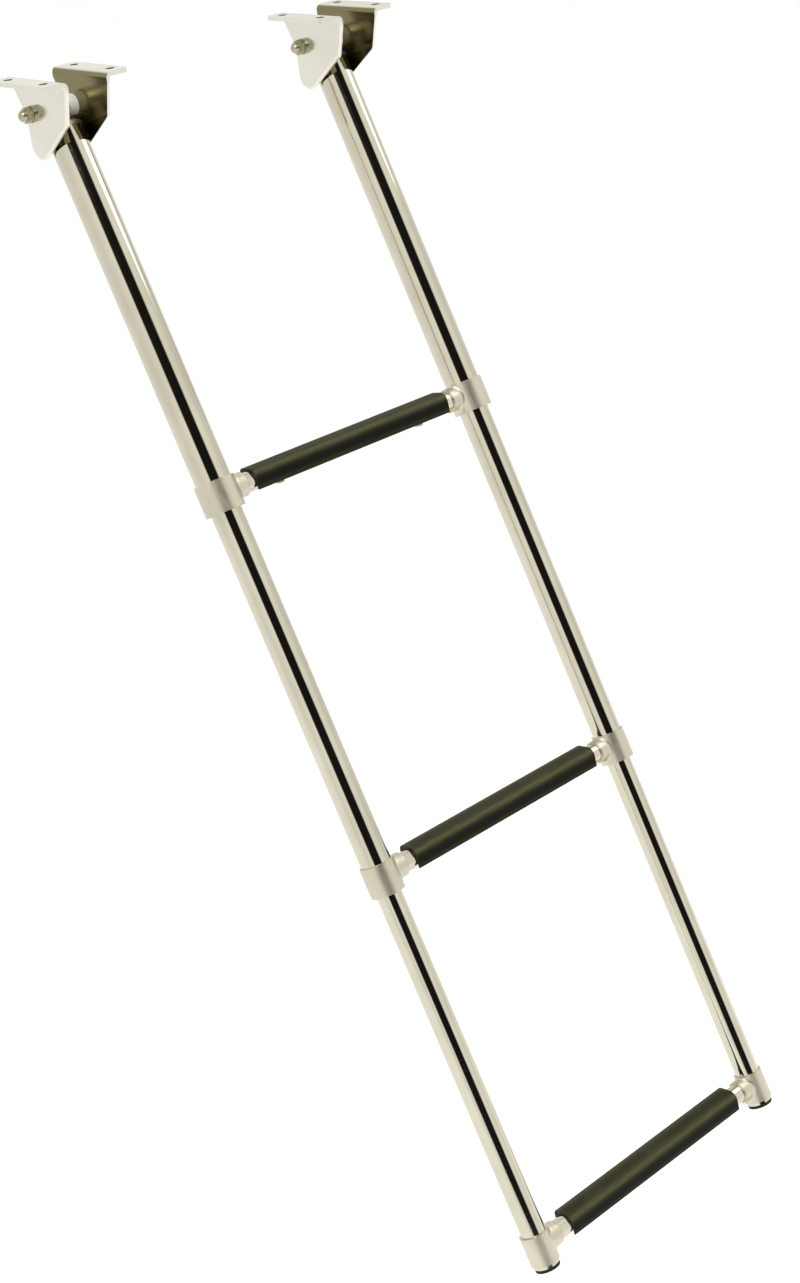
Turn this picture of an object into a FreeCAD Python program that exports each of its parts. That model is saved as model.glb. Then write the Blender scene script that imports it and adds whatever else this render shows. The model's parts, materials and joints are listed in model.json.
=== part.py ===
"""Three-step telescoping boat boarding ladder, hinged under a swim platform.

Millimetres. X runs along the rungs, Z is up, and -Y points outboard.
The origin is the middle of the mounting holes, on the face that meets the platform.
The ladder is modelled swung down on its stops and fully extended.
"""
import FreeCAD, Part
import os

import Sketcher

DRIVING_SIZES = {
    # whole ladder
    "stringer_spacing": 250.0,
    "upper_rung_drop": 298.0,
    "middle_rung_drop": 603.0,
    "lower_rung_drop": 908.0,
    "foot_below_rung": 19.0,
    "lean_angle": 26.0,
    # stringer tubes
    "upper_outer": 28.0,
    "upper_inner": 25.6,
    "middle_outer": 24.0,
    "middle_inner": 21.6,
    "lower_outer": 20.0,
    "lower_inner": 17.6,
    "upper_tube_top": 17.0,
    "slider_length": 18.0,
    "slide_fit": 0.1,
    "nylon_wall_fit": 0.05,
    # rungs and their T-shaped collars
    "rung_outer": 16.0,
    "rung_inner": 13.6,
    "collar_wall": 1.6,
    "collar_above": 10.0,
    "collar_below": 14.0,
    "collar_lip": 2.0,
    "lip_overlap": 0.3,
    "socket_wall": 1.6,
    "socket_reach": 6.0,
    "socket_blend": 3.0,
    # treads
    "tread_length": 192.0,
    "tread_front": 10.0,
    "tread_back": 10.0,
    "tread_rise": 9.8,
    "tread_skirt_drop": 6.5,
    "tread_nose_radius": 4.0,
    "tread_tilt": 15.0,
    "tread_screw_spacing": 140.0,
    "tread_screw_radius": 2.0,
    "tread_screw_head_radius": 3.4,
    "tread_screw_head_height": 1.2,
    "tread_screw_depth": 8.8,
    # folded brackets
    "sheet": 3.0,
    "ear_gap": 32.0,
    "flange_width": 17.0,
    "flange_length": 70.0,
    "flange_corner": 5.0,
    "mount_hole_radius": 3.3,
    "mount_hole_gauge": 56.0,
    "mount_hole_pitch": 46.0,
    "pivot_drop": 25.0,
    "pivot_back": 14.0,
    "ear_top_depth": 7.0,
    "ear_waist_back": 23.7,
    "ear_waist_depth": 27.0,
    "ear_tip_depth": 69.0,
    "ear_front_corner": 28.0,
    "ear_front_depth": 31.0,
    "ear_tip_radius": 11.0,
    "ear_corner_radius": 5.0,
    "bend_radius": 2.0,
    "bend_outside_radius": 4.5,
    "web_top_depth": 34.0,
    # pivots
    "bolt_radius": 3.0,
    "bolt_hole_radius": 3.25,
    "bolt_head_height": 4.0,
    "bolt_head_flats": 10.0,
    "nut_height": 5.0,
    "nut_dome_radius": 4.4,
    "washer_radius": 6.0,
    "washer_thickness": 1.6,
    "sleeve_radius": 4.5,
    "eye_radius": 9.0,
    "eye_width": 15.0,
    "eye_shank_radius": 8.0,
    "eye_plug_length": 14.0,
    "eye_cap_thickness": 3.0,
    "spacer_radius": 7.5,
    # feet
    "plug_flange": 2.5,
    "plug_length": 14.0,
}

doc = FreeCAD.newDocument("boarding_ladder")
sheet = doc.addObject("Spreadsheet::Sheet", "Sizes")
for row, (alias, number) in enumerate(DRIVING_SIZES.items(), start=1):
    sheet.set("A%d" % row, alias)
    sheet.set("B%d" % row, str(number))
    sheet.setAlias("B%d" % row, alias)
doc.recompute()

nodes = []


# ---------------------------------------------------------------- helpers
def size(alias):
    """Read one driving size back from the spreadsheet."""
    return float(sheet.get(alias))


def total(terms):
    """Add up a text such as 'a / 2 - b', whose terms are sizes or numbers."""
    values = []
    sign = 1.0
    words = iter(terms.split())
    for word in words:
        if word in "+-":
            sign = -1.0 if word == "-" else 1.0
        elif word == "/":
            values[-1] /= float(next(words))
        else:
            values.append(sign * (size(word) if word in DRIVING_SIZES else float(word)))
            sign = 1.0
    return sum(values)


def formula(terms):
    """Write the same text as an expression on the spreadsheet."""
    words = ["Sizes." + word if word in DRIVING_SIZES else word for word in terms.split()]
    return " ".join(words)


def ladder_placement():
    """Put a piece drawn about the pivot, with Z up the stringers, at the ladder's lean."""
    turn = FreeCAD.Rotation(FreeCAD.Vector(1, 0, 0), -size("lean_angle"))
    return FreeCAD.Placement(FreeCAD.Vector(0, size("pivot_back"), -size("pivot_drop")), turn)


def finish_node(piece, label, on_ladder=False):
    """Name a finished piece, and lean it with the ladder if it belongs there."""
    piece.Label = label
    if on_ladder:
        piece.Placement = ladder_placement() * piece.Placement
    nodes.append(piece)
    return piece


def place(piece, x="0", y="0", z="0"):
    """Bind where a primitive stands to the spreadsheet."""
    for axis, terms in (("x", x), ("y", y), ("z", z)):
        piece.setExpression("Placement.Base." + axis, formula(terms))
    return piece


def upright(name, radius, height, x="0", y="0", z="0"):
    """A cylinder along Z."""
    rod = doc.addObject("Part::Cylinder", name)
    rod.setExpression("Radius", radius)
    rod.setExpression("Height", formula(height))
    return place(rod, x, y, z)


def crosswise(name, radius, height, x="0", y="0", z="0"):
    """A cylinder along +X that starts at x."""
    rod = upright(name, radius, height)
    rod.Placement.Rotation = FreeCAD.Rotation(FreeCAD.Vector(0, 1, 0), 90)
    return place(rod, x, y, z)


def cut(name, base, tool):
    """Base less tool."""
    result = doc.addObject("Part::Cut", name)
    result.Base = base
    result.Tool = tool
    return result


def fuse(name, shapes):
    """One solid from several."""
    result = doc.addObject("Part::MultiFuse", name)
    result.Shapes = shapes
    result.Refine = True
    return result


def group(name, shapes):
    """Separate solids kept together in one node."""
    result = doc.addObject("Part::Compound", name)
    result.Links = shapes
    return result


def blend(name, blank):
    """Round the saddle-shaped edge where a collar's socket meets its body."""
    doc.recompute()
    saddles = [number for number, edge in enumerate(blank.Shape.Edges, start=1)
               if edge.Curve.TypeId not in ("Part::GeomCircle", "Part::GeomLine")]
    rounded = doc.addObject("Part::Fillet", name)
    rounded.Base = blank
    radius = size("socket_blend")
    rounded.Edges = [(number, radius, radius) for number in saddles]
    doc.recompute()
    return rounded


def polygon(body, plane, name, points):
    """A closed outline whose corners are bound to sizes, on one of the body's planes."""
    sketch = body.newObject("Sketcher::SketchObject", name)
    origin = [item for item in body.Origin.OriginFeatures if item.Role == plane][0]
    sketch.AttachmentSupport = [(origin, "")]
    sketch.MapMode = "FlatFace"
    corners = [FreeCAD.Vector(total(across), total(along), 0) for across, along in points]
    for index, corner in enumerate(corners):
        following = corners[(index + 1) % len(corners)]
        sketch.addGeometry(Part.LineSegment(corner, following), False)
    for index, (across, along) in enumerate(points):
        following = (index + 1) % len(points)
        sketch.addConstraint(Sketcher.Constraint("Coincident", index, 2, following, 1))
        for kind, terms in (("DistanceX", across), ("DistanceY", along)):
            name_in_sketch = "%s_%d" % (kind.lower(), index)
            rule = Sketcher.Constraint(kind, -1, 1, index, 1, total(terms))
            sketch.addConstraint(rule)
            sketch.renameConstraint(sketch.ConstraintCount - 1, name_in_sketch)
            sketch.setExpression("Constraints." + name_in_sketch, formula(terms))
    return sketch


def circles(body, plane, name, centres, radius):
    """Round outlines of one radius, each with a bound centre, on one of the body's planes."""
    sketch = body.newObject("Sketcher::SketchObject", name)
    origin = [item for item in body.Origin.OriginFeatures if item.Role == plane][0]
    sketch.AttachmentSupport = [(origin, "")]
    sketch.MapMode = "FlatFace"
    for index, (across, along) in enumerate(centres):
        centre = FreeCAD.Vector(total(across), total(along), 0)
        sketch.addGeometry(Part.Circle(centre, FreeCAD.Vector(0, 0, 1), total(radius)), False)
        rules = (
            ("distancex", Sketcher.Constraint("DistanceX", -1, 1, index, 3, total(across)), across),
            ("distancey", Sketcher.Constraint("DistanceY", -1, 1, index, 3, total(along)), along),
            ("radius", Sketcher.Constraint("Radius", index, total(radius)), radius),
        )
        for kind, rule, terms in rules:
            name_in_sketch = "%s_%d" % (kind, index)
            sketch.addConstraint(rule)
            sketch.renameConstraint(sketch.ConstraintCount - 1, name_in_sketch)
            sketch.setExpression("Constraints." + name_in_sketch, formula(terms))
    return sketch


def edges_near(shape, places, along, reach=0.6):
    """Names of the straight edges that lie along one axis and pass through given places."""
    found = []
    for index, edge in enumerate(shape.Edges, start=1):
        if not isinstance(edge.Curve, Part.Line):
            continue
        start = edge.Vertexes[0].Point
        end = edge.Vertexes[-1].Point
        run = end - start
        if abs(run.dot(along)) < 0.99 * run.Length:
            continue
        middle = (start + end) * 0.5
        flat = middle - along * middle.dot(along)
        for spot in places:
            if (flat - spot).Length < reach:
                found.append("Edge%d" % index)
    return found


def fillet(body, name, base, edges, radius):
    """Round chosen edges of a body."""
    rounding = body.newObject("PartDesign::Fillet", name)
    rounding.Base = (base, edges)
    rounding.Radius = size(radius)
    rounding.setExpression("Radius", "Sizes." + radius)
    doc.recompute()
    return rounding


def through_pocket(body, name, outline):
    """Cut an outline right through a body, both ways from its plane."""
    pocket = body.newObject("PartDesign::Pocket", name)
    pocket.Profile = outline
    pocket.Type = 1
    pocket.Midplane = True
    doc.recompute()
    return pocket


SIDES = (("left", "-"), ("right", ""))


def side_x(sign):
    """The stringer's centre plane on one side, as a text of sizes."""
    return "%s stringer_spacing / 2" % sign if sign else "stringer_spacing / 2"


def shift_x(piece, sign):
    """Bind a piece's x to its stringer."""
    piece.setExpression("Placement.Base.x", "%sSizes.stringer_spacing / 2" % sign)
    return piece


# ---------------------------------------------------------------- brackets
def make_bracket(side, sign):
    """A folded bracket: two flanges, two ears, and a rear web that stops the ladder."""
    body = doc.addObject("PartDesign::Body", side + "_bracket_body")
    outline = polygon(body, "YZ_Plane", side + "_ear_outline", [
        ("- flange_length / 2", "0"),
        ("flange_length / 2", "0"),
        ("flange_length / 2", "- ear_top_depth"),
        ("ear_waist_back", "- ear_waist_depth"),
        ("ear_waist_back", "- ear_tip_depth"),
        ("- ear_front_corner", "- ear_front_depth"),
        ("- flange_length / 2", "- ear_top_depth"),
    ])
    block = body.newObject("PartDesign::Pad", side + "_ear_block")
    block.Profile = outline
    block.Midplane = True
    block.setExpression("Length", "Sizes.ear_gap + 2 * Sizes.sheet")
    doc.recompute()

    along_x = FreeCAD.Vector(1, 0, 0)
    tip = FreeCAD.Vector(0, size("ear_waist_back"), -size("ear_tip_depth"))
    rounded = fillet(body, side + "_ear_tip", block,
                     edges_near(block.Shape, [tip], along_x), "ear_tip_radius")
    corners = [
        FreeCAD.Vector(0, -size("ear_front_corner"), -size("ear_front_depth")),
        FreeCAD.Vector(0, size("ear_waist_back"), -size("ear_waist_depth")),
    ]
    rounded = fillet(body, side + "_ear_corners", rounded,
                     edges_near(rounded.Shape, corners, along_x), "ear_corner_radius")

    plate_outline = polygon(body, "XY_Plane", side + "_flange_outline", [
        ("- ear_gap / 2 - sheet - flange_width", "- flange_length / 2"),
        ("ear_gap / 2 + sheet + flange_width", "- flange_length / 2"),
        ("ear_gap / 2 + sheet + flange_width", "flange_length / 2"),
        ("- ear_gap / 2 - sheet - flange_width", "flange_length / 2"),
    ])
    plate = body.newObject("PartDesign::Pad", side + "_flange_plate")
    plate.Profile = plate_outline
    plate.Reversed = True
    plate.setExpression("Length", "Sizes.sheet")
    doc.recompute()

    channel_outline = polygon(body, "XZ_Plane", side + "_channel_outline", [
        ("- ear_gap / 2", "- web_top_depth"),
        ("ear_gap / 2", "- web_top_depth"),
        ("ear_gap / 2", "ear_top_depth"),
        ("- ear_gap / 2", "ear_top_depth"),
    ])
    through_pocket(body, side + "_channel", channel_outline)

    slot_outline = polygon(body, "XY_Plane", side + "_slot_outline", [
        ("- ear_gap / 2", "- flange_length"),
        ("ear_gap / 2", "- flange_length"),
        ("ear_gap / 2", "ear_waist_back - sheet"),
        ("- ear_gap / 2", "ear_waist_back - sheet"),
    ])
    slot = through_pocket(body, side + "_slot", slot_outline)

    along_z = FreeCAD.Vector(0, 0, 1)
    outer_bends = []
    for direction in (-1, 1):
        outer_bends.append(FreeCAD.Vector(
            direction * (size("ear_gap") / 2 + size("sheet")), size("ear_waist_back"), 0))
    bends = edges_near(slot.Shape, outer_bends, along_z)
    last = fillet(body, side + "_web_bends", slot, bends, "bend_radius")

    along_y = FreeCAD.Vector(0, 1, 0)
    fold_inside = []
    fold_outside = []
    for direction in (-1, 1):
        fold_outside.append(FreeCAD.Vector(direction * size("ear_gap") / 2, 0, 0))
        fold_inside.append(FreeCAD.Vector(
            direction * (size("ear_gap") / 2 + size("sheet")), 0, -size("sheet")))
    last = fillet(body, side + "_fold_insides", last,
                  edges_near(last.Shape, fold_inside, along_y), "bend_radius")
    last = fillet(body, side + "_fold_outsides", last,
                  edges_near(last.Shape, fold_outside, along_y), "bend_outside_radius")

    flange_corners = []
    for across in (-1, 1):
        for along in (-1, 1):
            flange_corners.append(FreeCAD.Vector(
                across * (size("ear_gap") / 2 + size("sheet") + size("flange_width")),
                along * size("flange_length") / 2, 0))
    last = fillet(body, side + "_flange_corners", last,
                  edges_near(last.Shape, flange_corners, along_z), "flange_corner")

    pivot_outline = circles(body, "YZ_Plane", side + "_pivot_circle",
                            [("pivot_back", "- pivot_drop")], "bolt_hole_radius")
    through_pocket(body, side + "_pivot_hole", pivot_outline)

    spots = []
    for across in ("- ", ""):
        for along in ("- ", ""):
            spots.append((across + "mount_hole_gauge / 2", along + "mount_hole_pitch / 2"))
    mount_outline = circles(body, "XY_Plane", side + "_mount_circles", spots, "mount_hole_radius")
    body.Tip = through_pocket(body, side + "_mount_holes", mount_outline)
    doc.recompute()
    shift_x(body, sign)
    finish_node(body, side + "_bracket")


def hexagon_head(name, flats, height, x):
    """A bolt head or nut body whose axis is X, starting at x."""
    prism = doc.addObject("Part::Prism", name)
    prism.Polygon = 6
    prism.setExpression("Circumradius", "Sizes.%s / sqrt(3)" % flats)
    prism.setExpression("Height", "Sizes." + height)
    prism.Placement.Rotation = FreeCAD.Rotation(FreeCAD.Vector(0, 1, 0), 90)
    return place(prism, x, "pivot_back", "- pivot_drop")


def make_pivot(side, sign):
    """One pivot bolt through the ears, with its washers, dome nut and spacers."""
    centre = side_x(sign)
    ear_out = " + ear_gap / 2 + sheet"
    head_x = centre + ear_out + " + washer_thickness"
    head = hexagon_head(side + "_bolt_head", "bolt_head_flats", "bolt_head_height", head_x)
    shank_x = centre + " - ear_gap / 2 - sheet - washer_thickness - nut_height"
    shank_length = "ear_gap + sheet + sheet + washer_thickness + washer_thickness + nut_height"
    shank = crosswise(side + "_bolt_shank", "Sizes.bolt_radius", shank_length,
                      shank_x, "pivot_back", "- pivot_drop")
    finish_node(fuse(side + "_bolt", [head, shank]), side + "_pivot_bolt")

    nut_x = centre + " - ear_gap / 2 - sheet - washer_thickness - nut_height"
    nut_body = hexagon_head(side + "_nut_body", "bolt_head_flats", "nut_height", nut_x)
    dome = doc.addObject("Part::Sphere", side + "_nut_dome")
    dome.setExpression("Radius", "Sizes.nut_dome_radius")
    place(dome, nut_x, "pivot_back", "- pivot_drop")
    thread = crosswise(side + "_nut_thread", "Sizes.bolt_radius", "nut_height",
                       nut_x, "pivot_back", "- pivot_drop")
    nut = cut(side + "_nut", fuse(side + "_nut_blank", [nut_body, dome]), thread)
    finish_node(nut, side + "_pivot_nut")

    washers = []
    for place_name, washer_x in (
            ("inner", centre + ear_out),
            ("outer", centre + " - ear_gap / 2 - sheet - washer_thickness")):
        disc = crosswise("%s_%s_washer_disc" % (side, place_name), "Sizes.washer_radius",
                         "washer_thickness", washer_x, "pivot_back", "- pivot_drop")
        bore = crosswise("%s_%s_washer_bore" % (side, place_name), "Sizes.bolt_radius",
                         "washer_thickness", washer_x, "pivot_back", "- pivot_drop")
        washers.append(cut("%s_%s_washer" % (side, place_name), disc, bore))

    spacers = []
    spacer_length = "ear_gap / 2 - eye_width / 2 - slide_fit"
    for place_name, spacer_x in (
            ("low", centre + " - ear_gap / 2"),
            ("high", centre + " + eye_width / 2 + slide_fit")):
        body = crosswise("%s_%s_spacer_body" % (side, place_name), "Sizes.spacer_radius",
                         spacer_length, spacer_x, "pivot_back", "- pivot_drop")
        bore = crosswise("%s_%s_spacer_bore" % (side, place_name), "Sizes.bolt_radius",
                         spacer_length, spacer_x, "pivot_back", "- pivot_drop")
        spacers.append(cut("%s_%s_spacer" % (side, place_name), body, bore))
    return washers, spacers


# ---------------------------------------------------------------- ladder pieces
def sleeve(name, outer, inner, bottom, length, x):
    """A round tube along the stringer; outer and inner are radius expressions."""
    outside = upright(name + "_outside", outer, length, x, "0", bottom)
    inside = upright(name + "_inside", inner, length, x, "0", bottom)
    return cut(name, outside, inside)


def make_eye(side, sign):
    """The fitting in the top of an upper tube: a plug, a cap, a shank and the hinge eye."""
    centre = side_x(sign)
    eye = crosswise(side + "_eye_barrel", "Sizes.eye_radius", "eye_width",
                    centre + " - eye_width / 2", "0", "0")
    shank = upright(side + "_eye_shank", "Sizes.eye_shank_radius",
                    "upper_tube_top - eye_cap_thickness", centre, "0",
                    "- upper_tube_top + eye_cap_thickness")
    cap = upright(side + "_eye_cap", "Sizes.upper_outer / 2", "eye_cap_thickness",
                  centre, "0", "- upper_tube_top")
    plug = upright(side + "_eye_plug", "Sizes.upper_inner / 2 - Sizes.nylon_wall_fit",
                   "eye_plug_length", centre, "0", "- upper_tube_top - eye_plug_length")
    trim = doc.addObject("Part::Box", side + "_eye_trim")
    trim.setExpression("Length", "Sizes.eye_width")
    trim.setExpression("Width", "Sizes.upper_outer")
    trim.setExpression("Height", "Sizes.upper_tube_top + Sizes.eye_radius")
    place(trim, centre + " - eye_width / 2", "- upper_outer / 2",
          "- upper_tube_top + eye_cap_thickness")
    lug = doc.addObject("Part::Common", side + "_eye_lug")
    lug.Base = fuse(side + "_eye_stem", [eye, shank])
    lug.Tool = trim
    blank = fuse(side + "_eye_blank", [lug, cap, plug])
    bore = crosswise(side + "_eye_bore", "Sizes.sleeve_radius", "eye_width + eye_width",
                     centre + " - eye_width", "0", "0")
    finish_node(cut(side + "_eye", blank, bore), side + "_pivot_eye", on_ladder=True)

    bush_outside = crosswise(side + "_bush_outside", "Sizes.sleeve_radius", "eye_width",
                             centre + " - eye_width / 2", "0", "0")
    bush_inside = crosswise(side + "_bush_inside", "Sizes.bolt_radius + Sizes.nylon_wall_fit",
                            "eye_width", centre + " - eye_width / 2", "0", "0")
    return cut(side + "_eye_bush", bush_outside, bush_inside)


def make_collar(section, side, sign):
    """A T-shaped collar at the foot of a tube, with a socket for the rung.

    The upper and middle collars end in a lip under their tube; the lower one is open,
    because its tube goes on down to the end plug.
    """
    centre = side_x(sign)
    name = "%s_%s_collar" % (side, section)
    rung_height = "- %s_rung_drop" % section
    bottom = rung_height + " - collar_below"
    body = upright(name + "_body", "Sizes.%s_outer / 2 + Sizes.collar_wall" % section,
                   "collar_above + collar_below", centre, "0", bottom)
    reach = "%s_outer / 2 + collar_wall + socket_reach" % section
    start = centre if sign else centre + " - " + reach.replace("+", "-")
    socket = crosswise(name + "_socket", "Sizes.rung_outer / 2 + Sizes.socket_wall", reach,
                       start, "0", rung_height)
    casting = blend(name + "_casting", fuse(name + "_blank", [body, socket]))
    rung_hole = crosswise(name + "_rung_hole", "Sizes.rung_outer / 2", reach,
                          start, "0", rung_height)
    lip = "0" if section == "lower" else "collar_lip"
    tube_hole = upright(name + "_tube_hole", "Sizes.%s_outer / 2" % section,
                        "collar_above + collar_below - %s + socket_reach" % lip, centre, "0",
                        bottom + " + " + lip)
    holes = [rung_hole, tube_hole]
    if section != "lower":
        holes.append(upright(name + "_lip_hole",
                             "Sizes.%s_inner / 2 - Sizes.lip_overlap" % section,
                             "collar_above + collar_below", centre, "0", bottom))
    finish_node(cut(name, casting, fuse(name + "_hollow", holes)), name, on_ladder=True)


def tread_placement(section):
    """Stand a piece on a rung, turned back from the ladder's lean by the tread's tilt."""
    tilt = FreeCAD.Rotation(FreeCAD.Vector(1, 0, 0), size("tread_tilt"))
    return FreeCAD.Placement(FreeCAD.Vector(0, 0, -size(section + "_rung_drop")), tilt)


def make_tread(section):
    """A moulded tread that caps the rung: flat top, rounded nose, skirts front and back."""
    name = section + "_tread"
    body = doc.addObject("PartDesign::Body", name + "_body")
    outline = polygon(body, "YZ_Plane", name + "_outline", [
        ("- tread_front", "- tread_skirt_drop"),
        ("- tread_front", "tread_rise"),
        ("tread_back", "tread_rise"),
        ("tread_back", "- tread_skirt_drop"),
    ])
    block = body.newObject("PartDesign::Pad", name + "_block")
    block.Profile = outline
    block.Midplane = True
    block.setExpression("Length", "Sizes.tread_length")
    doc.recompute()
    along_x = FreeCAD.Vector(1, 0, 0)
    nose = FreeCAD.Vector(0, -size("tread_front"), size("tread_rise"))
    fillet(body, name + "_nose", block, edges_near(block.Shape, [nose], along_x),
           "tread_nose_radius")
    seat_outline = polygon(body, "YZ_Plane", name + "_seat_outline", [
        ("- rung_outer / 2", "- rung_outer"),
        ("- rung_outer / 2", "0"),
        ("rung_outer / 2", "0"),
        ("rung_outer / 2", "- rung_outer"),
    ])
    through_pocket(body, name + "_seat", seat_outline)
    saddle_outline = circles(body, "YZ_Plane", name + "_saddle_circle", [("0", "0")],
                             "rung_outer / 2")
    through_pocket(body, name + "_saddle", saddle_outline)

    screw_spots = [("- tread_screw_spacing / 2", "0"), ("tread_screw_spacing / 2", "0")]
    screw_outline = circles(body, "XY_Plane", name + "_screw_circles", screw_spots,
                            "tread_screw_radius")
    screw_holes = body.newObject("PartDesign::Pocket", name + "_screw_holes")
    screw_holes.Profile = screw_outline
    screw_holes.Reversed = True
    screw_holes.setExpression("Length", "Sizes.tread_screw_depth")
    body.Tip = screw_holes
    doc.recompute()
    body.Placement = tread_placement(section)
    finish_node(body, name, on_ladder=True)


def screw_shank(name, across):
    """The straight part of a tread screw, standing where the tread's own axes are."""
    return upright(name, "Sizes.tread_screw_radius",
                   "rung_outer / 2 + tread_screw_head_height + tread_screw_depth",
                   across, "0", "- rung_outer / 2 - tread_screw_head_height")


def make_tread_screws(section):
    """Two screws that come up through the rung and hold its tread down."""
    screws = []
    for side, across in (("left", "- tread_screw_spacing / 2"),
                         ("right", "tread_screw_spacing / 2")):
        name = "%s_%s_screw" % (section, side)
        head = upright(name + "_head", "Sizes.tread_screw_head_radius",
                       "tread_screw_head_height", across, "0",
                       "- rung_outer / 2 - tread_screw_head_height")
        screws.append(fuse(name, [head, screw_shank(name + "_shank", across)]))
    pair = group(section + "_screw_pair", screws)
    pair.Placement = tread_placement(section)
    finish_node(pair, section + "_tread_screws", on_ladder=True)


def make_rung(section):
    """A rung tube, drilled for its screws, whose ends are coped to the stringers."""
    name = section + "_rung_tube"
    height = "- %s_rung_drop" % section
    start = "- stringer_spacing / 2"
    outside = crosswise(name + "_outside", "Sizes.rung_outer / 2", "stringer_spacing",
                        start, "0", height)
    inside = crosswise(name + "_inside", "Sizes.rung_inner / 2", "stringer_spacing",
                       start, "0", height)
    tools = [inside]
    for side, sign in SIDES:
        tools.append(upright("%s_%s_cope" % (name, side), "Sizes.%s_outer / 2" % section,
                             "rung_outer + rung_outer", side_x(sign), "0",
                             height + " - rung_outer"))
        rod = screw_shank("%s_%s_drill_rod" % (name, side), sign + " tread_screw_spacing / 2")
        drill = group("%s_%s_drill" % (name, side), [rod])
        drill.Placement = tread_placement(section)
        tools.append(drill)
    finish_node(cut(name, outside, fuse(name + "_tool", tools)), name, on_ladder=True)


def make_tube(section, side, sign, bottom, length):
    """One stringer tube."""
    name = "%s_%s_tube" % (side, section)
    tube = sleeve(name, "Sizes.%s_outer / 2" % section, "Sizes.%s_inner / 2" % section,
                  bottom, length, side_x(sign))
    finish_node(tube, name, on_ladder=True)


def make_guide_bushes(section, inner_section):
    """Nylon bushes in the feet of a pair of tubes, which guide the next pair."""
    bushes = []
    for side, sign in SIDES:
        bushes.append(sleeve("%s_%s_bush" % (side, section),
                             "Sizes.%s_inner / 2 - Sizes.nylon_wall_fit" % section,
                             "Sizes.%s_outer / 2 + Sizes.slide_fit" % inner_section,
                             "- %s_rung_drop - collar_below + collar_lip" % section,
                             "collar_above + collar_below - collar_lip", side_x(sign)))
    finish_node(group(section + "_bush_pair", bushes), section + "_guide_bushes",
                on_ladder=True)


def make_sliders(section, outer_section):
    """Nylon sliders on the tops of a pair of tubes: they stop on the bushes above the rung."""
    sliders = []
    for side, sign in SIDES:
        sliders.append(sleeve("%s_%s_slider" % (side, section),
                              "Sizes.%s_inner / 2 - Sizes.slide_fit" % outer_section,
                              "Sizes.%s_outer / 2" % section,
                              "- %s_rung_drop + collar_above + slide_fit" % outer_section,
                              "slider_length", side_x(sign)))
    finish_node(group(section + "_slider_pair", sliders), section + "_sliders",
                on_ladder=True)


def make_end_plug(side, sign):
    """The plug in the open foot of a lower tube."""
    centre = side_x(sign)
    bottom = "- lower_rung_drop - foot_below_rung"
    flange = upright(side + "_plug_flange", "Sizes.lower_outer / 2", "plug_flange",
                     centre, "0", bottom)
    stem = upright(side + "_plug_stem", "Sizes.lower_inner / 2", "plug_length",
                   centre, "0", bottom + " + plug_flange")
    finish_node(fuse(side + "_plug", [flange, stem]), side + "_end_plug", on_ladder=True)


# ---------------------------------------------------------------- assembly
washers = []
spacers = []
eye_bushes = []
for side, sign in SIDES:
    make_bracket(side, sign)
    side_washers, side_spacers = make_pivot(side, sign)
    washers += side_washers
    spacers += side_spacers
    eye_bushes.append(make_eye(side, sign))
finish_node(group("washer_set", washers), "pivot_washers")
finish_node(group("spacer_set", spacers), "pivot_spacers")
finish_node(group("eye_bush_pair", eye_bushes), "eye_bushes", on_ladder=True)

SLIDER_TOP = "collar_above + slide_fit + slider_length"
for side, sign in SIDES:
    make_tube("upper", side, sign,
              "- upper_rung_drop - collar_below + collar_lip",
              "upper_rung_drop + collar_below - collar_lip - upper_tube_top")
    make_tube("middle", side, sign,
              "- middle_rung_drop - collar_below + collar_lip",
              "middle_rung_drop + collar_below - collar_lip - upper_rung_drop + " + SLIDER_TOP)
    make_tube("lower", side, sign,
              "- lower_rung_drop - foot_below_rung + plug_flange",
              "lower_rung_drop + foot_below_rung - plug_flange - middle_rung_drop + "
              + SLIDER_TOP)
    for section in ("upper", "middle", "lower"):
        make_collar(section, side, sign)
    make_end_plug(side, sign)

for section in ("upper", "middle", "lower"):
    make_rung(section)
    make_tread(section)
    make_tread_screws(section)
for outer_section, inner_section in (("upper", "middle"), ("middle", "lower")):
    make_guide_bushes(outer_section, inner_section)
    make_sliders(inner_section, outer_section)

doc.recompute()
for item in doc.Objects:
    if "Invalid" in item.State or "Error" in item.State:
        raise RuntimeError("%s failed: %s" % (item.Name, item.State))
os.makedirs("parts", exist_ok=True)
for node in nodes:
    if node.Shape.isNull() or not node.Shape.isValid():
        raise RuntimeError(node.Label + " has no valid shape")
    node.Shape.exportStep("parts/%s.step" % node.Label)
    print("%-24s solids %d  volume %.0f mm3" % (
        node.Label, len(node.Shape.Solids), node.Shape.Volume))
print(len(nodes), "nodes")
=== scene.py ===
import json
import math

import bmesh
import bpy
from mathutils import Matrix, Vector


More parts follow.
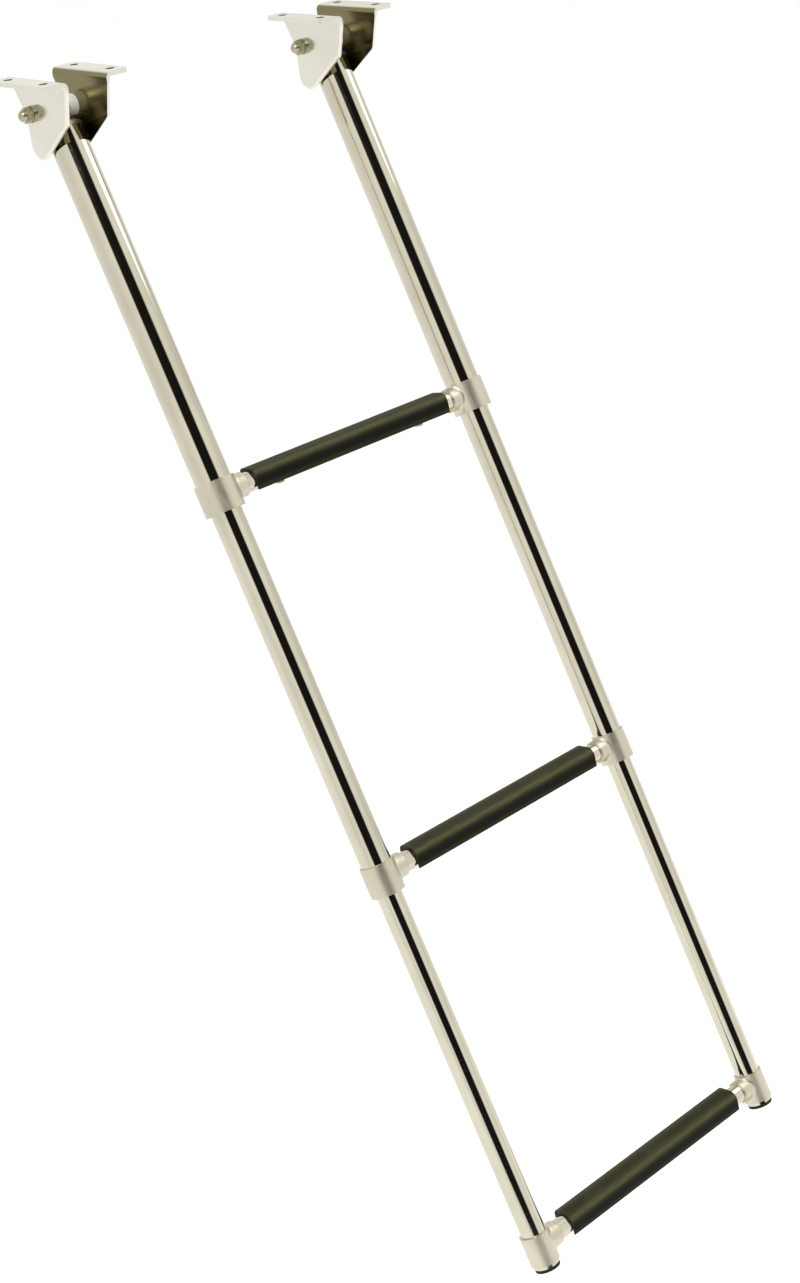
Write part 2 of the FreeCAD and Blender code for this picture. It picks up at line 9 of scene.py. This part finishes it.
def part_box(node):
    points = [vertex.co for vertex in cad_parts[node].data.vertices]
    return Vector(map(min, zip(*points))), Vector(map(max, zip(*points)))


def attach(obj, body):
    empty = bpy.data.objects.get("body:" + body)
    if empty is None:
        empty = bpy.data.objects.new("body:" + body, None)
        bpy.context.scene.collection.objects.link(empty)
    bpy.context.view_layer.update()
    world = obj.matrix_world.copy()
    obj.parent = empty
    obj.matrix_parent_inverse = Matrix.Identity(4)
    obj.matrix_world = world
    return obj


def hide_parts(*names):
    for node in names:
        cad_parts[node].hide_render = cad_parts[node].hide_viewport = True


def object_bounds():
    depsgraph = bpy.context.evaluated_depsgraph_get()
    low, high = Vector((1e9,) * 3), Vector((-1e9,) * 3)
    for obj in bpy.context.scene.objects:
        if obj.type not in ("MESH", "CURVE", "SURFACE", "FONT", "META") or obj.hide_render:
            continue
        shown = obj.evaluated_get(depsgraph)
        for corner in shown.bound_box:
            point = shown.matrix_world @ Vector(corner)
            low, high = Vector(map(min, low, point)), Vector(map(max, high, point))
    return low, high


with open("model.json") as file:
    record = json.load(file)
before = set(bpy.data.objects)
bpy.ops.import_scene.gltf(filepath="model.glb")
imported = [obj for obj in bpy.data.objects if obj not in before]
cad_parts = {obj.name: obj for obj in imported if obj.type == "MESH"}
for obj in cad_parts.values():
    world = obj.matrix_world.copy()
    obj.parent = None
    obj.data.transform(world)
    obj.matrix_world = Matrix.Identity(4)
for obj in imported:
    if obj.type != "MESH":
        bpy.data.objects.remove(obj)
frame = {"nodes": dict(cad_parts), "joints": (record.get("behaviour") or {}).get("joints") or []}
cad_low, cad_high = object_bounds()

MM = 0.001

# The ladder's own axes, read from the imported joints.
JOINTS = {joint["name"]: joint for joint in frame["joints"]}
UP = Vector(JOINTS["middle_slide"]["axis"]).normalized()
ACROSS = Vector((1, 0, 0))
LEAN = math.atan2(UP.y, UP.z)
TREAD_TILT = math.radians(15)
TREAD_TURN = Matrix.Rotation(TREAD_TILT - LEAN, 4, "X")
SECTIONS = ("upper", "middle", "lower")
SIDES = (("left", -1), ("right", 1))

# Camera: standing outboard of the ladder, to its left, looking down at it.
CAMERA_PLACE = Vector((-0.890, -1.2525, 0.224))
CAMERA_TURN = (64.29, 6.12, -41.85)
CAMERA_LENS = 56.1


def centre_of(node):
    low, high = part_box(node)
    return (low + high) / 2


def extent(node, place):
    """A CAD node's lowest and highest corners, measured in the axes of a placement."""
    inverse = place.inverted()
    points = [inverse @ vertex.co for vertex in frame["nodes"][node].data.vertices]
    low = Vector([min(point[axis] for point in points) for axis in range(3)])
    high = Vector([max(point[axis] for point in points) for axis in range(3)])
    return low, high


# ---------------------------------------------------------------- materials

class Graph:
    """A small helper that adds shader nodes to a node tree and links them."""

    def __init__(self, tree):
        self.tree = tree

    def add(self, kind, **settings):
        node = self.tree.nodes.new(kind)
        for key, value in settings.items():
            setattr(node, key, value)
        return node

    def join(self, source, target):
        self.tree.links.new(source, target)

    def ramp(self, value, stops):
        """A colour ramp, from a list of places and colours."""
        node = self.add("ShaderNodeValToRGB")
        elements = node.color_ramp.elements
        while len(elements) < len(stops):
            elements.new(0.5)
        for element, (place, colour) in zip(elements, stops):
            element.position = place
            element.color = (*colour, 1)
        self.join(value, node.inputs["Fac"])
        return node.outputs["Color"]

    def spread(self, value, low, high, start=0.3, end=0.7, smooth=False):
        """A value that runs from start to end, spread over another range."""
        kind = "SMOOTHSTEP" if smooth else "LINEAR"
        node = self.add("ShaderNodeMapRange", interpolation_type=kind)
        node.inputs["From Min"].default_value = start
        node.inputs["From Max"].default_value = end
        node.inputs["To Min"].default_value = low
        node.inputs["To Max"].default_value = high
        self.join(value, node.inputs["Value"])
        return node.outputs["Result"]

    def math(self, operation, *values):
        node = self.add("ShaderNodeMath", operation=operation)
        for value, socket in zip(values, node.inputs):
            if isinstance(value, (int, float)):
                socket.default_value = value
            else:
                self.join(value, socket)
        return node.outputs[0]

    def mix(self, factor, first, second):
        """Two colours mixed; each is a tuple or another node's output."""
        node = self.add("ShaderNodeMix", data_type="RGBA")
        self.join(factor, node.inputs["Factor"])
        for value, socket in ((first, node.inputs["A"]), (second, node.inputs["B"])):
            if isinstance(value, tuple):
                socket.default_value = (*value, 1)
            else:
                self.join(value, socket)
        return node.outputs["Result"]


class Look(Graph):
    """A node material around a Principled shader."""

    def __init__(self, name):
        self.material = bpy.data.materials.new(name)
        self.material.use_nodes = True
        super().__init__(self.material.node_tree)
        self.shader = self.tree.nodes["Principled BSDF"]
        self.here = self.add("ShaderNodeTexCoord").outputs["Object"]

    def stretched(self, scale, turn=0.0):
        """Object coordinates turned about X and scaled along each axis."""
        mapping = self.add("ShaderNodeMapping", vector_type="TEXTURE")
        mapping.inputs["Rotation"].default_value = (turn, 0, 0)
        mapping.inputs["Scale"].default_value = scale
        self.join(self.here, mapping.inputs["Vector"])
        return mapping.outputs["Vector"]

    def noise(self, vector, scale, detail=3.0, roughness=0.5):
        node = self.add("ShaderNodeTexNoise")
        node.inputs["Scale"].default_value = scale
        node.inputs["Detail"].default_value = detail
        node.inputs["Roughness"].default_value = roughness
        self.join(vector, node.inputs["Vector"])
        return node.outputs["Fac"]

    def bump(self, height, distance):
        node = self.add("ShaderNodeBump")
        node.inputs["Strength"].default_value = 1.0
        node.inputs["Distance"].default_value = distance
        self.join(height, node.inputs["Height"])
        self.join(node.outputs["Normal"], self.shader.inputs["Normal"])


def ear_insides_shade_mask(look):
    """1 on the faces of a bracket's two ears that face each other, where the painted shade goes;
    0 elsewhere.
    """
    geometry = look.add("ShaderNodeNewGeometry")
    place = look.add("ShaderNodeSeparateXYZ")
    facing = look.add("ShaderNodeSeparateXYZ")
    look.join(look.here, place.inputs[0])
    look.join(geometry.outputs["True Normal"], facing.inputs[0])
    sideways = look.math("ABSOLUTE", place.outputs["X"])
    from_middle = look.math("SUBTRACT", sideways, abs(centre_of("left_bracket").x))
    side = look.math("SIGN", place.outputs["X"])
    outward = look.math("MULTIPLY", side, facing.outputs["X"])
    inward = look.math("MULTIPLY", look.math("MULTIPLY", from_middle, outward), -1.0)
    return look.spread(inward, 0.0, 1.0, *INNER_SHADE_RANGE)


def steel(name, tones, shine, grain_scale, grain_turn, grain_depth, painted_shade_inside=False):
    """Stainless steel: two tones, a grain that runs one way, faint smears, and, where asked,
    painted shade on the facing insides of the bracket ears.
    """
    look = Look(name)
    look.shader.inputs["Metallic"].default_value = 1.0
    cloud = look.noise(look.here, scale=18.0, detail=4.0, roughness=0.6)
    colour = look.ramp(cloud, [(0.35, tones[0]), (0.65, tones[1])])
    if painted_shade_inside:
        # Painted shade: the facing insides of the bracket ears get a dark brown that stands in
        # for shade and dark reflection between the ears.
        colour = look.mix(ear_insides_shade_mask(look), colour, INNER_PAINTED_SHADE)
    look.join(colour, look.shader.inputs["Base Color"])
    along_grain = look.stretched(grain_scale, grain_turn)
    grain = look.noise(along_grain, scale=1.0, detail=5.0, roughness=0.7)
    smear = look.noise(look.here, scale=60.0, detail=5.0, roughness=0.65)
    grained = look.spread(grain, shine[0], shine[1])
    smeared = look.spread(smear, 0.0, (shine[1] - shine[0]) * SMEAR_SHARE)
    look.join(look.math("ADD", grained, smeared), look.shader.inputs["Roughness"])
    look.bump(grain, grain_depth)
    return look.material


def welded_steel():
    """Polished weld metal: a little darker and straw-coloured, with fine ripples."""
    look = Look("weld_metal")
    look.shader.inputs["Metallic"].default_value = 1.0
    cloud = look.noise(look.here, scale=220.0, detail=4.0, roughness=0.6)
    colour = look.ramp(cloud, [(0.3, WELD_TONES[0]), (0.7, WELD_TONES[1])])
    look.join(colour, look.shader.inputs["Base Color"])
    look.join(look.spread(cloud, *WELD_SHINE), look.shader.inputs["Roughness"])
    look.bump(look.noise(look.here, scale=900.0), WELD_RELIEF)
    return look.material


def moulded(name, dark, light, shine, pores, depth):
    """Moulded plastic: fine grain, mottled colour, pale high places that are partly wear and
    partly painted highlight, and painted shade under the nose.
    """
    look = Look(name)
    cloud = look.noise(look.here, scale=45.0, detail=4.0, roughness=0.6)
    unshaded = look.ramp(cloud, [(0.3, dark), (0.72, light)])
    wear_and_painted_light = look.add("ShaderNodeAttribute", attribute_name="wear_and_painted_light").outputs["Fac"]
    shade_mask = look.add("ShaderNodeAttribute", attribute_name="painted_shade").outputs["Fac"]
    # Painted shade: this attribute darkens the tread's front face under the nose and its skirt,
    # where shade falls.
    base = look.mix(shade_mask, unshaded, tuple(channel * PAINTED_SHADE_TONE for channel in dark))
    along_scuffs = look.stretched(SCUFF_SIZE)
    scuff = look.noise(along_scuffs, scale=1.0, detail=4.0, roughness=0.7)
    paleness = look.math("MULTIPLY", wear_and_painted_light, look.spread(scuff, *SCUFF_RANGE))
    pale = tuple(channel * WEAR_AND_HIGHLIGHT_TONE for channel in light)
    # Pale rib edges and nose top: partly wear, partly painted highlight, broken up by scuffs.
    look.join(look.mix(paleness, base, pale), look.shader.inputs["Base Color"])
    grain = look.noise(look.here, scale=pores, roughness=0.6)
    look.join(look.spread(grain, shine[0], shine[1]), look.shader.inputs["Roughness"])
    look.shader.inputs["Specular IOR Level"].default_value = FAINT_SHEEN
    look.bump(grain, depth)
    return look.material


def nylon():
    """Natural nylon: off-white, waxy, with a faint turned grain."""
    look = Look("natural_nylon")
    cloud = look.noise(look.here, scale=90.0)
    colour = look.ramp(cloud, [(0.3, NYLON_TONES[0]), (0.7, NYLON_TONES[1])])
    look.join(colour, look.shader.inputs["Base Color"])
    ring = look.noise(look.stretched(TURNED_GRAIN, -LEAN), scale=1.0, detail=2.0)
    look.join(look.spread(ring, *NYLON_SHINE), look.shader.inputs["Roughness"])
    look.bump(ring, NYLON_RELIEF)
    return look.material


# Each pair of colours is the darker and the lighter of a material's own tones.
WARM = ((0.57, 0.54, 0.43), (0.63, 0.6, 0.485))
DULL = ((0.36, 0.33, 0.23), (0.46, 0.43, 0.32))
PALE = ((0.69, 0.68, 0.59), (0.745, 0.738, 0.65))
# Painted shade on the facing insides of the bracket ears, and the band over which it fades in.
INNER_PAINTED_SHADE = (0.21, 0.185, 0.095)
INNER_SHADE_RANGE = (8 * MM, 12 * MM)
SMEAR_SHARE = 0.6
WELD_TONES = ((0.42, 0.36, 0.26), (0.62, 0.58, 0.47))
WELD_SHINE = (0.16, 0.34)
WELD_RELIEF = 0.08 * MM
NYLON_TONES = ((0.86, 0.85, 0.8), (0.93, 0.92, 0.88))
NYLON_SHINE = (0.32, 0.5)
NYLON_RELIEF = 0.04 * MM
TURNED_GRAIN = (20 * MM, 20 * MM, 0.4 * MM)
TREAD_TONES = ((0.0175, 0.0181, 0.0066), (0.029, 0.0298, 0.0124))
PLUG_TONES = ((0.012, 0.012, 0.011), (0.022, 0.022, 0.019))
FAINT_SHEEN = 0.1
# Painted shade, and wear with painted highlight, as multiples of a plastic's darker and lighter
# tones.
PAINTED_SHADE_TONE = 0.22
WEAR_AND_HIGHLIGHT_TONE = 3.2
SCUFF_SIZE = (12 * MM, 1.6 * MM, 1.6 * MM)
SCUFF_RANGE = (0.45, 0.85)

MATERIALS = {
    "stainless_tube": steel("polished_tube_steel", WARM, (0.035, 0.075),
                            (0.9 * MM, 0.9 * MM, 90 * MM), -LEAN, 0.006 * MM),
    "stainless_fitting": steel("satin_fitting_steel", WARM, (0.3, 0.42),
                               (1.2 * MM, 1.2 * MM, 12 * MM), -LEAN, 0.01 * MM),
    "stainless_sheet": steel("polished_sheet_steel", PALE, (0.1, 0.19),
                             (50 * MM, 1.1 * MM, 1.1 * MM), 0.0, 0.012 * MM,
                             painted_shade_inside=True),
    "stainless_fastener": steel("brushed_fastener_steel", DULL, (0.2, 0.32),
                                (4 * MM, 0.6 * MM, 0.6 * MM), 0.0, 0.02 * MM),
    "nylon": nylon(),
    "tread_plastic": moulded("grained_tread_plastic", *TREAD_TONES, (0.42, 0.6),
                             2200.0, 0.06 * MM),
    "plug_plastic": moulded("grained_plug_plastic", *PLUG_TONES, (0.4, 0.6),
                            2600.0, 0.05 * MM),
}


def dress_nodes():
    """Give each CAD node the finished material of its slot, whose name its own material has."""
    for node in frame["nodes"].values():
        for slot in node.material_slots:
            slot.material = MATERIALS[slot.material.name]


# ---------------------------------------------------------------- treads

# Paleness runs from 1, pale with wear and painted highlight, to -1, dark with painted shade: on
# each rib from front to back, at each point of the nose from low to high, and on the skirt at
# shares of the tread's height.
# Positive values on ribs and nose are partly wear and partly painted highlight.
RIB_WEAR_AND_HIGHLIGHT = (0.1, 0.1, 0.2, 0.9)
NOSE_WEAR_AND_PAINTED_LIGHT = (-0.5, 0.0, 0.7, 1.0, 0.9, 0.5, 0.2, 0.1, 0.1)
FACE_PAINTED_SHADE = ((0.2, -0.35), (0.28, -1.0), (0.52, -1.0))
TOE_PAINTED_SHADE = -0.2
# Where a groove starts and ends, and where its rib ends, as shares of the ribs' pitch.
GROOVE_START = 0.1
GROOVE_END = 0.5
RIB_END = 0.8
RIB_DEPTH = 0.7 * MM
RIB_SLOPE = 0.3 * MM
RIB_RUN_OUT = 3.0 * MM
RIB_SLANT = 1.5 * MM
NOSE_RADIUS = 6.5 * MM
BACK_RADIUS = 4.0 * MM
SKIRT_RADIUS = 1.4 * MM
ARC_STEPS = 8
SADDLE_FIT = 0.15 * MM
MERGE_DISTANCE = 0.002 * MM
EDGE_ROUNDING = 0.3 * MM
EDGE_SEGMENTS = 2
EDGE_ANGLE = 35


def arc(centre, radius, start, end, steps):
    """Points of a circular arc in a tread's own front-to-back and up axes."""
    points = []
    for step in range(steps + 1):
        angle = math.radians(start + (end - start) * step / steps)
        points.append((centre[0] + radius * math.cos(angle),
                       centre[1] + radius * math.sin(angle)))
    return points


def tread_outline(low, high, rung_radius, groove):
    """One section through a tread: nose, ribbed top, skirts, and the saddle over the rung.

    groove runs from 0 to 1, so a section near an end can be plain. The third number of
    each point is its paleness: wear with painted highlight above 0, painted shade below 0.
    """
    front, back = low.y, high.y
    bottom, top = low.z, high.z
    toe = (front + SKIRT_RADIUS, bottom + SKIRT_RADIUS)
    nose = (front + NOSE_RADIUS, top - NOSE_RADIUS)
    curve = arc(toe, SKIRT_RADIUS, 270, 180, ARC_STEPS // 2)
    outline = [(y, z, TOE_PAINTED_SHADE) for y, z in curve]
    outline += [(front, bottom + share * (top - bottom), paleness) for share, paleness in FACE_PAINTED_SHADE]
    curve = arc(nose, NOSE_RADIUS, 180, 90, ARC_STEPS)
    outline += [(y, z, paleness) for (y, z), paleness in zip(curve, NOSE_WEAR_AND_PAINTED_LIGHT)]

    first = front + NOSE_RADIUS
    last = back - BACK_RADIUS
    pitch = (last - first) / len(RIB_WEAR_AND_HIGHLIGHT)
    floor = top - RIB_DEPTH * groove
    for rib, paleness in enumerate(RIB_WEAR_AND_HIGHLIGHT):
        start = first + rib * pitch
        groove_start = start + GROOVE_START * pitch
        groove_end = start + GROOVE_END * pitch
        outline += [(groove_start, top, paleness),
                    (groove_start + RIB_SLOPE, floor, 0),
                    (groove_end - RIB_SLOPE, floor, 0),
                    (groove_end, top, paleness),
                    (start + RIB_END * pitch, top, paleness)]
    corner = (back - BACK_RADIUS, top - BACK_RADIUS)
    outline += [(y, z, 0) for y, z in arc(corner, BACK_RADIUS, 90, 0, ARC_STEPS // 2)]
    heel = (back - SKIRT_RADIUS / 2, bottom + SKIRT_RADIUS / 2)
    outline += [(y, z, 0) for y, z in arc(heel, SKIRT_RADIUS / 2, 0, -90, ARC_STEPS // 2)]

    saddle = rung_radius + SADDLE_FIT
    outline.append((saddle, bottom, 0))
    outline += [(y, z, 0) for y, z in arc((0, 0), saddle, 0, 180, 3 * ARC_STEPS)]
    outline.append((-saddle, bottom, 0))
    return outline


def make_tread(section):
    """A ribbed tread: sections lofted along its length, with rounded edges."""
    node = section + "_tread"
    rung = section + "_rung_tube"
    place = Matrix.Translation(centre_of(rung)) @ TREAD_TURN
    low, high = extent(node, place)
    rung_low, rung_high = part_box(rung)
    rung_radius = (rung_high.z - rung_low.z) / 2
    end = high.x
    stations = [(end, 0), (end - RIB_RUN_OUT, 0), (end - RIB_RUN_OUT - RIB_SLANT, 1)]
    stations = [(-x, groove) for x, groove in stations] + stations[::-1]

    work = bmesh.new()
    wear_and_highlight_layer = work.verts.layers.float.new("wear_and_painted_light")
    painted_shade_layer = work.verts.layers.float.new("painted_shade")
    rings = []
    for x, groove in stations:
        ring = []
        for y, z, wear_and_painted_light in tread_outline(low, high, rung_radius, groove):
            vertex = work.verts.new(place @ Vector((x, y, z)))
            # Positive values mark paleness from wear and painted highlight; negative ones mark
            # painted shade.
            vertex[wear_and_highlight_layer] = max(wear_and_painted_light, 0.0)
            vertex[painted_shade_layer] = max(-wear_and_painted_light, 0.0)
            ring.append(vertex)
        rings.append(ring)
    for ring, following in zip(rings, rings[1:]):
        for index, vertex in enumerate(ring):
            after = (index + 1) % len(ring)
            work.faces.new((vertex, following[index], following[after], ring[after]))
    caps = [work.faces.new(rings[0]), work.faces.new(rings[-1][::-1])]
    bmesh.ops.triangulate(work, faces=caps)
    bmesh.ops.remove_doubles(work, verts=work.verts, dist=MERGE_DISTANCE)
    bmesh.ops.recalc_face_normals(work, faces=work.faces)
    piece = finish_piece(work, section + "_ribbed_tread", "tread_plastic",
                         section + "_section")
    soften(piece)
    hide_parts(node)


def soften(piece):
    """Round a piece's sharp edges, and shade it with normals that keep its flats flat."""
    bevel = piece.modifiers.new("rounded_edges", "BEVEL")
    bevel.width = EDGE_ROUNDING
    bevel.segments = EDGE_SEGMENTS
    bevel.limit_method = "ANGLE"
    bevel.angle_limit = math.radians(EDGE_ANGLE)
    bevel.use_clamp_overlap = True
    bevel.harden_normals = True


def finish_piece(work, name, slot, body, material=None):
    """Turn a bmesh into a smooth-shaded piece that rides on a body."""
    mesh = bpy.data.meshes.new(name)
    work.to_mesh(mesh)
    work.free()
    for polygon in mesh.polygons:
        polygon.use_smooth = True
    mesh.materials.append(material or MATERIALS[slot])
    piece = bpy.data.objects.new(name, mesh)
    bpy.context.scene.collection.objects.link(piece)
    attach(piece, body)
    return piece


# ---------------------------------------------------------------- weld beads

WELD_METAL = welded_steel()
BEAD_RADIUS = 0.9 * MM
BEAD_SIDES = 10
BEAD_STEPS = 96
RIPPLE_COUNT = 30
RIPPLE_DEPTH = 0.14
BEAD_STANDS_OUT = 0.3


def make_bead(name, body, centre, radius):
    """A rippled ring of weld metal about an axis that runs across the ladder."""
    work = bmesh.new()
    rings = []
    for step in range(BEAD_STEPS):
        turn = 2 * math.pi * step / BEAD_STEPS
        outward = Vector((0, math.cos(turn), math.sin(turn)))
        thickness = BEAD_RADIUS * (1 + RIPPLE_DEPTH * math.sin(RIPPLE_COUNT * turn))
        ring = []
        for corner in range(BEAD_SIDES):
            angle = 2 * math.pi * corner / BEAD_SIDES
            offset = outward * math.cos(angle) + ACROSS * math.sin(angle)
            ring.append(work.verts.new(centre + outward * radius + offset * thickness))
        rings.append(ring)
    for step, ring in enumerate(rings):
        following = rings[(step + 1) % BEAD_STEPS]
        for index, vertex in enumerate(ring):
            after = (index + 1) % BEAD_SIDES
            work.faces.new((vertex, ring[after], following[after], following[index]))
    bmesh.ops.recalc_face_normals(work, faces=work.faces)
    finish_piece(work, name, "stainless_tube", body, WELD_METAL)


def make_welds():
    """Beads where the rungs enter the sockets of their collars."""
    for section in SECTIONS:
        rung = section + "_rung_tube"
        middle = centre_of(rung)
        rung_low, rung_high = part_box(rung)
        radius = (rung_high.z - rung_low.z) / 2 + BEAD_RADIUS * BEAD_STANDS_OUT
        for side, sign in SIDES:
            low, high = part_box("%s_%s_collar" % (side, section))
            mouth = high.x if sign < 0 else low.x
            make_bead("%s_%s_weld" % (side, section), section + "_section",
                      Vector((mouth, middle.y, middle.z)), radius)


# ---------------------------------------------------------------- stage

FLOOR_GAP = 0.22
FLOOR_SIZE = 60.0
FLOOR_ROUGHNESS = 0.9
FLOOR_TONES = ((0.95, 0.955, 0.97), (0.965, 0.97, 0.985))
SENSOR_WIDTH = 36.0
VIEW_REACH = 200.0


def make_floor():
    """A plain pale floor, well below the ladder's feet."""
    look = Look("pale_floor")
    cloud = look.noise(look.here, scale=1.5)
    colour = look.ramp(cloud, [(0.3, FLOOR_TONES[0]), (0.7, FLOOR_TONES[1])])
    look.join(colour, look.shader.inputs["Base Color"])
    look.shader.inputs["Roughness"].default_value = FLOOR_ROUGHNESS
    look.shader.inputs["Specular IOR Level"].default_value = FAINT_SHEEN
    work = bmesh.new()
    bmesh.ops.create_grid(work, x_segments=4, y_segments=4, size=FLOOR_SIZE / 2)
    mesh = bpy.data.meshes.new("floor")
    work.to_mesh(mesh)
    work.free()
    mesh.materials.append(look.material)
    floor = bpy.data.objects.new("floor", mesh)
    floor.location = (0, 0, cad_low.z - FLOOR_GAP)
    bpy.context.scene.collection.objects.link(floor)


def make_camera():
    data = bpy.data.cameras.new("camera")
    data.lens = CAMERA_LENS
    data.sensor_width = SENSOR_WIDTH
    data.clip_end = VIEW_REACH
    camera = bpy.data.objects.new("camera", data)
    camera.location = CAMERA_PLACE
    camera.rotation_euler = [math.radians(angle) for angle in CAMERA_TURN]
    bpy.context.scene.collection.objects.link(camera)
    bpy.context.scene.camera = camera


# The studio's walls, as seen from the ladder: turns in degrees about the stringers,
# measured from the side that the camera stands on, with the brightness there.
WALLS = [
    (-180, 0.05), (-162, 0.05), (-157, 0.98), (-60, 0.98), (-22, 1.14), (-15, 1.14),
    (-9, 0.012), (42, 0.012), (49, 1.1), (75, 1.08), (95, 0.88), (130, 0.95),
    (157, 0.98), (162, 0.05), (180, 0.05),
]
WALL_TINT = (1.0, 0.99, 0.965)
DARK_WALL_REACH = (0.36, 0.47)


def studio_light(graph):
    """The colour of the room in each direction, from its turn about the stringers."""
    middle = (cad_low + cad_high) / 2
    facing = CAMERA_PLACE - middle
    facing = (facing - UP * facing.dot(UP)).normalized()
    rightward = UP.cross(facing).normalized()
    direction = graph.add("ShaderNodeTexCoord").outputs["Generated"]

    def part_along(axis):
        node = graph.add("ShaderNodeVectorMath", operation="DOT_PRODUCT")
        node.inputs[1].default_value = axis
        graph.join(direction, node.inputs[0])
        return node.outputs["Value"]

    turn = graph.math("ARCTAN2", part_along(rightward), part_along(facing))
    around = graph.spread(turn, 0.0, 1.0, -math.pi, math.pi)
    walls = graph.ramp(around, [
        ((degrees + 180) / 360, [brightness * tint for tint in WALL_TINT])
        for degrees, brightness in WALLS])
    height = graph.math("ABSOLUTE", part_along(UP))
    beyond = graph.spread(height, 0.0, 1.0, *DARK_WALL_REACH, smooth=True)
    return graph.mix(beyond, walls, WALL_TINT)


def make_studio():
    """A bright room with dark openings front and back, which polished tubes draw as lines."""
    world = bpy.data.worlds.new("studio")
    world.use_nodes = True
    bpy.context.scene.world = world
    graph = Graph(world.node_tree)
    graph.tree.nodes.clear()
    lit = graph.add("ShaderNodeBackground")
    graph.join(studio_light(graph), lit.inputs["Color"])
    seen = graph.add("ShaderNodeBackground")
    seen.inputs["Color"].default_value = (1, 1, 1, 1)
    either = graph.add("ShaderNodeMixShader")
    camera_ray = graph.add("ShaderNodeLightPath").outputs["Is Camera Ray"]
    graph.join(camera_ray, either.inputs["Fac"])
    graph.join(lit.outputs["Background"], either.inputs[1])
    graph.join(seen.outputs["Background"], either.inputs[2])
    output = graph.add("ShaderNodeOutputWorld")
    graph.join(either.outputs["Shader"], output.inputs["Surface"])


SKYLIGHT = 0.45
SKYLIGHT_SPREAD = 120
# Each lamp's name, place, width, power and tint.
LAMPS = (
    ("key", (-1.6, -1.4, 2.2), 1.6, 34.0, (1.0, 0.985, 0.95)),
    ("fill", (2.2, -0.6, 1.4), 1.8, 14.0, (0.98, 0.99, 1.0)),
)


def make_lamps():
    middle = (cad_low + cad_high) / 2
    data = bpy.data.lights.new("skylight", "SUN")
    data.energy = SKYLIGHT
    data.angle = math.radians(SKYLIGHT_SPREAD)
    skylight = bpy.data.objects.new("skylight", data)
    skylight.location = (0, 0, 3)
    skylight.visible_glossy = False
    bpy.context.scene.collection.objects.link(skylight)
    for name, place, width, power, tint in LAMPS:
        data = bpy.data.lights.new(name, "AREA")
        data.shape = "DISK"
        data.size = width
        data.energy = power
        data.color = tint
        lamp = bpy.data.objects.new(name, data)
        lamp.location = place
        aim = middle - lamp.location
        lamp.rotation_euler = aim.to_track_quat("-Z", "Y").to_euler()
        bpy.context.scene.collection.objects.link(lamp)


dress_nodes()
for section_name in SECTIONS:
    make_tread(section_name)
make_welds()
make_floor()
make_camera()
make_studio()
make_lamps()
bpy.context.scene.view_settings.view_transform = "Standard"
bpy.context.view_layer.update()
